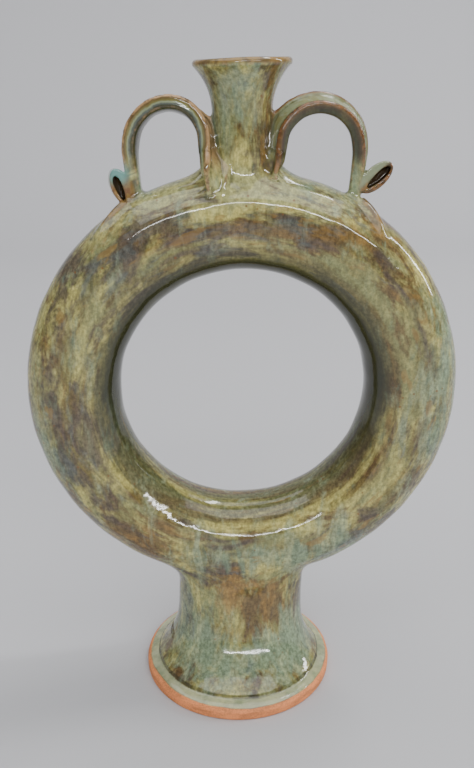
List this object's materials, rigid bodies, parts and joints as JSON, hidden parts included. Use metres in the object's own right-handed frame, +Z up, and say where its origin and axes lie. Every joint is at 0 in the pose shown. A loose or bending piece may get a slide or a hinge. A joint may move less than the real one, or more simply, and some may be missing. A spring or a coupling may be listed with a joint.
{
  "type": "ring jug",
  "caption": "Glazed stoneware ring jug: a hollow ring standing on a flared foot, with a trumpet neck and strap handles that end in small open curls.",
  "frame": {"origin": "on the floor, straight below the centre of the ring", "axes": "+Z up through the neck, -Y towards the front, +X to the right as seen from the front"},
  "size_m": [0.2992, 0.1428, 0.4479],
  "materials": {
    "glazed_stoneware": "glossy olive green glaze, mottled with brown, rust, purple-grey and turquoise, bare orange clay at the foot's edge"
  },
  "bodies": {
    "root": {"ring_jug": "glazed_stoneware"}
  },
  "joints": []
}
